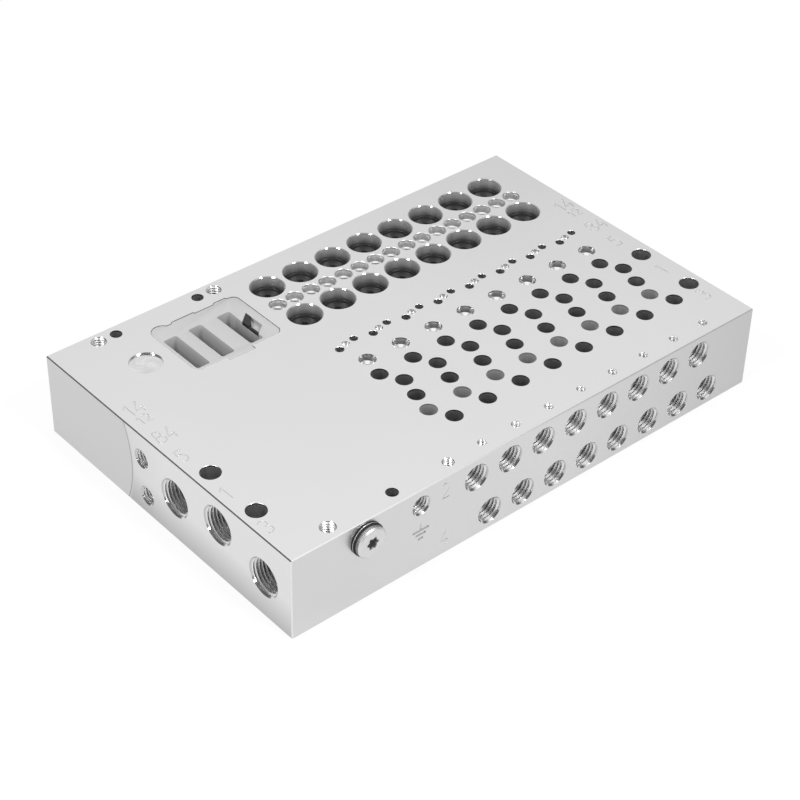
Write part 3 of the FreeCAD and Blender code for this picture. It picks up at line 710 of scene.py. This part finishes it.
# Half the section, from the axis to the axis: the end that a point is measured from, its share of
# the radius, and its height from that end in mm.
INSERT_PROFILE = [
    ("bottom", 0.0, 0.0), ("bottom", 1.0, 0.0), ("top", 1.0, -0.35), ("top", 0.93, 0.0),
    ("top", 0.83, 0.0), ("top", 0.80, -RING_SUNK), ("top", 0.44, -RING_SUNK), ("top", 0.42, -0.05),
    ("top", 0.36, 0.0), ("top", 0.21, 0.0), ("top", 0.195, -0.12), ("top", 0.195, -3.0),
    ("top", 0.0, -3.0)]
INSERT_STEPS = 48
SPIGOT_PROFILE = [(0.0, -0.6), (1.15, -0.6), (1.15, 0.0), (1.0, 0.12), (0.72, 0.12),
                  (0.62, 0.0), (0.62, -0.25), (0.0, -0.25)]
SPIGOT_STEPS = 28
SPIGOT_REACH = 2.35


# A turned piece: half its section as a line of points from axis to axis, spun once round.
def turned(name, profile, steps):
    piece = first_point(name, (profile[0][0], 0, profile[0][1]))
    for (out, up), (next_out, next_up) in zip(profile, profile[1:]):
        draw_on((next_out - out, 0, next_up - up))
    bpy.ops.mesh.select_all(action="SELECT")
    bpy.ops.mesh.spin(steps=steps, angle=2 * math.pi, center=(0, 0, 0), axis=(0, 0, 1))
    bpy.ops.mesh.select_all(action="SELECT")
    bpy.ops.mesh.remove_doubles(threshold=SAME_POINT)
    close_piece()
    bpy.ops.object.shade_smooth_by_angle(angle=math.radians(SMOOTH_BELOW))
    return piece


insert_low, insert_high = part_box("socket_insert_back_1")
insert_radius = (insert_high.x - insert_low.x) / 2
insert_height = insert_high.z - insert_low.z
plain_insert = turned("plain_insert", [
    (insert_radius * out, up * MM + (0 if end == "bottom" else insert_height))
    for end, out, up in INSERT_PROFILE], INSERT_STEPS)
spigot = turned("spigot", [(out * MM, up * MM) for out, up in SPIGOT_PROFILE], SPIGOT_STEPS)

moulded = Finish(bpy.data.materials.new("black_moulding"))
grain = noise(moulded, object_place(moulded), 900.0, 4.0, 0.6)
surface(moulded, {
    "Base Color": 0.008 + grain * 0.03, "Roughness": 0.28 + grain * 0.25,
    "Normal": bump(moulded, grain, 0.35, 0.0001), "Specular IOR Level": 0.25})

for row in ("back", "front"):
    for count in range(STATION_COUNT):
        node = "socket_insert_%s_%d" % (row, count + 1)
        low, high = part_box(node)
        seat = Vector(((low.x + high.x) / 2, (low.y + high.y) / 2, low.z))
        insert = copy_at(plain_insert, "contact_carrier_%s_%d" % (row, count + 1), seat)
        if row == "front":
            on_ring = Vector((SPIGOT_REACH * MM, 0, insert_height - RING_SUNK * MM))
            pick(copy_at(spigot, "stub", seat + on_ring), insert)
            bpy.ops.object.join()
        insert.data.materials.append(moulded.owner)
        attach(insert, "root")
        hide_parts(node)
bpy.data.objects.remove(plain_insert)
bpy.data.objects.remove(spigot)

# Slot frame: a pale grey moulding that drops into the milled pocket, with three deep slots for
# the label carriers, and tabs that key it in the pocket. Its edges are lightly rounded.
FRAME_EDGE = 0.22
FRAME_TOP = (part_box("slot_frame")[1].z - BLOCK_LOW.z) / MM
# The plain niche is filled up, and one with a slanted back is cut in its place.
NICHE_PAD = [(44.6, 71.5), (47.7, 71.5), (47.7, 78.2), (44.6, 78.2)]
NICHE_PAD_DEEP = 4.0
NICHE_CUT = [(44.2, 75.35), (44.2, 68.85), (44.7, 69.2), (47.6, 71.6), (47.6, 78.1), (44.7, 75.7)]
NICHE_DEEP = 1.05
CUT_OVERRUN = 1.0
# Painted shade darkens the moulding over this depth below its top, in its slots and its niche.
SLOT_SHADE_DEPTH = 3.0
# In degrees: only edges sharper than this are rounded.
ROUNDED_FROM = 40


# An upright piece from its outline in the block's plan and its lower and upper height.
def upright(name, corners, low, high):
    piece = first_point(name, on_block(*corners[0], low))
    for (x, y), (next_x, next_y) in zip(corners, corners[1:]):
        draw_on(((next_x - x) * MM, (next_y - y) * MM, 0))
    bpy.ops.mesh.select_all(action="SELECT")
    bpy.ops.mesh.edge_face_add()
    bpy.ops.mesh.extrude_region_move(
        TRANSFORM_OT_translate={"value": (0, 0, (high - low) * MM)})
    close_piece()
    return piece


# A CAD piece with its sharp edges rounded as a mould or a file leaves them.
def softened(node, name, width, changes=()):
    piece = cad_copy(node, name)
    for operation, tool in changes:
        carve(piece, operation, tool)
    bpy.ops.object.mode_set(mode="EDIT")
    bpy.ops.mesh.select_all(action="SELECT")
    bpy.ops.mesh.dissolve_limited(angle_limit=math.radians(1.0))
    bpy.ops.object.mode_set(mode="OBJECT")
    rounding = piece.modifiers.new("rounding", "BEVEL")
    rounding.width = width * MM
    rounding.segments = 2
    rounding.limit_method = "ANGLE"
    rounding.angle_limit = math.radians(ROUNDED_FROM)
    rounding.use_clamp_overlap = True
    bpy.ops.object.modifier_apply(modifier="rounding")
    bpy.ops.object.shade_smooth_by_angle(angle=math.radians(ROUNDED_FROM))
    piece.data.materials.clear()
    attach(piece, "root")
    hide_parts(node)
    return piece


slot_frame = softened("slot_frame", "label_slot_frame", FRAME_EDGE, (
    ("UNION", upright("niche_pad", NICHE_PAD, FRAME_TOP - NICHE_PAD_DEEP, FRAME_TOP)),
    ("DIFFERENCE", upright("niche_cut", NICHE_CUT, FRAME_TOP - NICHE_DEEP,
                           FRAME_TOP + CUT_OVERRUN))))
pale = Finish(bpy.data.materials.new("pale_moulding"))
grain = noise(pale, object_place(pale), 1400.0, 3.0, 0.6)
clouds = noise(pale, object_place(pale), 90.0, 2.0)
x, y, z = axes_mm(pale)
painted_slot_shade = ((FRAME_TOP - z) / SLOT_SHADE_DEPTH).held()
surface(pale, {
    "Base Color": (0.43 + clouds * 0.04) * (1.0 - painted_slot_shade * 0.26),
    "Roughness": 0.5 + grain * 0.15, "Normal": bump(pale, grain, 0.2, 0.00006)})
slot_frame.data.materials.append(pale.owner)

# Slot clip: a small black latch, moulded in plastic, that lies in the niche beside the third
# slot: a wedge against the niche's slanted back, and a bar along its open side.
LATCH_WEDGE = [(44.75, 75.7), (47.55, 78.0), (47.55, 76.2), (45.6, 73.3), (44.75, 73.3)]
LATCH_BAR = [(44.75, 73.7), (44.75, 69.3), (45.3, 69.75), (45.3, 73.7)]
BAR_BELOW_TOP = 0.28
clip = upright("spring_latch", LATCH_WEDGE, FRAME_TOP - NICHE_DEEP, FRAME_TOP)
pick(upright("latch_bar", LATCH_BAR, FRAME_TOP - NICHE_DEEP, FRAME_TOP - BAR_BELOW_TOP), clip)
bpy.ops.object.join()
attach(clip, "root")
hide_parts("slot_clip")
clip.data.materials.append(moulded.owner)

# Plug screw: a turned and nickel-plated steel plug with a six-lobed drive and a rolled rim,
# screwed into the front face. Its places are in mm from the middle of the block's bottom face.
PLUG_MIDDLE = (-52.1, 17.8)
PLUG_FACE = -49.3
PLUG_EDGE = 0.10
PLUG_DRIVE = 3.4
ROLLED_FROM = 3.95
PLAIN_RIM = 0.4
ROLLED_RIDGES = 56.0
ROLLED_SLANT = 8.0
plug = softened("plug_screw", "closing_plug", PLUG_EDGE)
plated = Finish(bpy.data.materials.new("plated_steel"))
haze = noise(plated, object_place(plated), 700.0, 3.0)
x, y, z = axes_mm(plated)
out_x, out_z = x - PLUG_MIDDLE[0], z - PLUG_MIDDLE[1]
radius = (out_x * out_x + out_z * out_z).root()
ridges = out_z.angle_over(out_x) * ROLLED_RIDGES
knurl = (ridges + y * ROLLED_SLANT).sine() * (ridges - y * ROLLED_SLANT).sine()
rolled = radius.above(ROLLED_FROM) * y.above(PLUG_FACE + PLAIN_RIM)
# Painted shade darkens the six-lobed drive below the face.
painted_drive_shade = (PLUG_DRIVE - radius).held() * ((y - PLUG_FACE) * 2.0 - 0.2).held()
surface(plated, {
    "Base Color": (0.66 + haze * 0.10 - rolled * (0.36 - knurl * 0.30)) * (1.0 - painted_drive_shade * 0.6),
    "Metallic": 1.0, "Roughness": 0.40 + haze * 0.14,
    "Normal": bump(plated, haze, 0.1, 0.00003)})
plug.data.materials.append(plated.owner)

# Sealing ring: a dark ring moulded on a thin steel core, whose edge shows as a bright line. It is
# clamped between the plug's head and the front face. CORE_EDGE is measured as PLUG_FACE is.
SEAL_EDGE = 0.12
CORE_EDGE = (-47.50, -47.33)
seal = softened("plug_seal_ring", "sealing_ring", SEAL_EDGE)
rubber = Finish(bpy.data.materials.new("dark_seal"))
bloom = noise(rubber, object_place(rubber), 800.0, 3.0)
x, y, z = axes_mm(rubber)
steel_core = y.above(CORE_EDGE[0]) * y.below(CORE_EDGE[1])
surface(rubber, {
    "Base Color": 0.008 + bloom * 0.02 + steel_core * 0.7, "Metallic": steel_core,
    "Roughness": 0.6 + bloom * 0.2 - steel_core * 0.25, "Specular IOR Level": 0.25})
seal.data.materials.append(rubber.owner)
